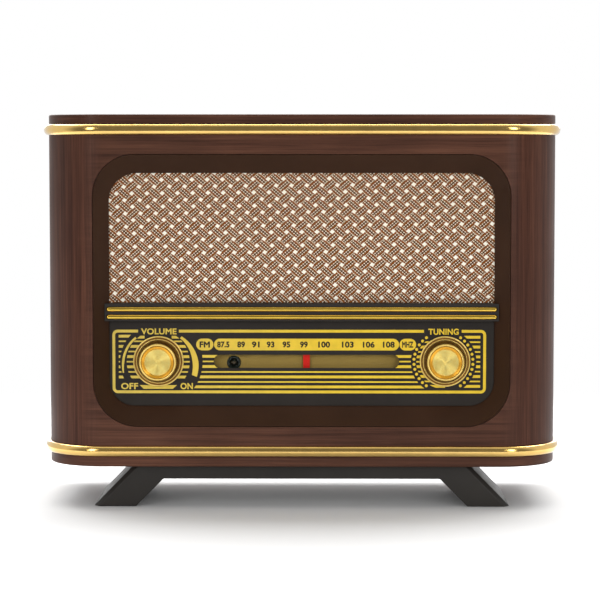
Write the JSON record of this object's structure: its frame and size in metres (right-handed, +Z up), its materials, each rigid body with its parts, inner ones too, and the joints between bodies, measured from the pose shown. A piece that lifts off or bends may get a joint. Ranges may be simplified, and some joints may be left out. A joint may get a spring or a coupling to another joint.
{
  "type": "tabletop radio",
  "caption": "Retro tabletop FM radio: rounded wooden cabinet with gold bands, woven grille, printed dial with pointer, knurled knobs, splayed foot and folding rear aerial.",
  "frame": {"origin": "on the table, under the middle of the radio's outline", "axes": "+X to the right seen from the front, +Y to the back, +Z up"},
  "size_m": [0.306, 0.1304, 0.2302],
  "materials": {
    "wood_veneer": "dark mahogany veneer, satin lacquer",
    "bezel_brown": "dark brown stained wood, satin",
    "gold_trim": "polished gold plating",
    "gold_knob": "gold anodised, knurled and spun",
    "grille_cloth": "cream and brown basket weave",
    "black_plastic": "moulded black plastic, fine texture",
    "dial_black": "black printed dial, satin",
    "dial_tan": "matte tan paint",
    "pointer_red": "red plastic",
    "clear_plastic": "clear plastic",
    "lamp_plastic": "clear red lamp body, unlit",
    "steel": "zinc plated steel",
    "magnet_grey": "ferrite and black plate",
    "fibre_board": "raw fibre board",
    "paper_cone": "pressed paper cone",
    "circuit_board": "green circuit board",
    "cord_white": "braided dial cord",
    "rubber": "soft black rubber",
    "chrome": "chromed tube"
  },
  "bodies": {
    "case": {"cabinet_shell": "wood_veneer", "top_board": "wood_veneer", "base_board": "wood_veneer", "trim_top": "gold_trim", "trim_bottom": "gold_trim", "foot_bracket": "black_plastic", "foot_pad_right": "rubber", "foot_pad_left": "rubber", "bracket_screw_left": "steel", "bracket_screw_right": "steel", "recess_bezel": "bezel_brown", "sub_front_board": "fibre_board", "grille_cloth": "grille_cloth", "divider_bar": "black_plastic", "gold_rod_lower": "gold_trim", "gold_rod_upper": "gold_trim", "dial_plate": "dial_black", "dial_window": "clear_plastic", "dial_backplate": "dial_tan", "lamp_holder": "black_plastic", "dial_lamp": "lamp_plastic", "volume_potentiometer": "steel", "tuning_bushing": "steel", "dial_cord": "cord_white", "pointer_rail": "steel", "dial_chassis": "steel", "tuning_capacitor": "steel", "speaker_basket": "black_plastic", "speaker_cone": "paper_cone", "speaker_magnet": "magnet_grey", "speaker_screw_1": "steel", "speaker_screw_2": "steel", "speaker_screw_3": "steel", "speaker_screw_4": "steel", "main_board": "circuit_board", "mains_transformer": "magnet_grey", "rear_cover": "black_plastic", "rear_screw_left_low": "steel", "rear_screw_left_high": "steel", "rear_screw_right_low": "steel", "rear_screw_right_high": "steel", "mains_inlet": "black_plastic"},
    "volume_dial": {"volume_knob": "gold_knob", "volume_knob_cap": "gold_knob", "volume_shaft": "steel"},
    "tuning_dial": {"tuning_knob": "gold_knob", "tuning_knob_cap": "gold_knob", "tuning_spindle": "steel"},
    "drum": {"cord_drum": "black_plastic", "capacitor_rotor": "steel"},
    "idler": {"idler_pulley": "black_plastic"},
    "pointer_slide": {"pointer": "pointer_red", "pointer_carriage": "black_plastic"},
    "aerial_turret": {"aerial_base": "chrome", "aerial_nut": "steel"},
    "aerial_arm": {"aerial_mast": "chrome"},
    "aerial_inner_1": {"aerial_section_1": "chrome"},
    "aerial_inner_2": {"aerial_section_2": "chrome"},
    "aerial_inner_3": {"aerial_tip": "chrome"}
  },
  "joints": [
    {"name": "volume_turn", "type": "hinge", "parent": "case", "child": "volume_dial", "pos_m": [-0.0842, -0.05415, 0.0856], "axis": [0, 1, 0], "range_deg": [0, 300]},
    {"name": "tuning_turn", "type": "hinge", "parent": "case", "child": "tuning_dial", "pos_m": [0.0842, -0.05415, 0.0856], "axis": [0, 1, 0], "range_deg": [-871.97, 871.97]},
    {"name": "drum_turn", "type": "hinge", "parent": "case", "child": "drum", "pos_m": [-0.07, -0.02515, 0.066], "axis": [0, 1, 0], "range_deg": [-90, 90]},
    {"name": "idler_turn", "type": "hinge", "parent": "case", "child": "idler", "pos_m": [0.066, -0.02515, 0.0922], "axis": [0, 1, 0], "range_deg": [-560, 560]},
    {"name": "pointer_travel", "type": "slide", "parent": "case", "child": "pointer_slide", "axis": [1, 0, 0], "range_m": [-0.049, 0.049]},
    {"name": "aerial_swivel", "type": "hinge", "parent": "case", "child": "aerial_turret", "pos_m": [0.112, 0.06165, 0.203], "axis": [0, 1, 0], "range_deg": [0, 180]},
    {"name": "aerial_tilt", "type": "hinge", "parent": "aerial_turret", "child": "aerial_arm", "pos_m": [0.112, 0.06165, 0.203], "axis": [0, 0, -1], "range_deg": [0, 90]},
    {"name": "aerial_slide_1", "type": "slide", "parent": "aerial_arm", "child": "aerial_inner_1", "axis": [-1, 0, 0], "range_m": [0, 0.13]},
    {"name": "aerial_slide_2", "type": "slide", "parent": "aerial_inner_1", "child": "aerial_inner_2", "axis": [-1, 0, 0], "range_m": [0, 0.13]},
    {"name": "aerial_slide_3", "type": "slide", "parent": "aerial_inner_2", "child": "aerial_inner_3", "axis": [-1, 0, 0], "range_m": [0, 0.13]}
  ],
  "couplings": [
    {"joint": "drum_turn", "follows": "tuning_turn", "ratio": 0.10256},
    {"joint": "idler_turn", "follows": "tuning_turn", "ratio": 0.64},
    {"joint": "pointer_travel", "follows": "tuning_turn", "m_per_rad": 0.0032}
  ]
}
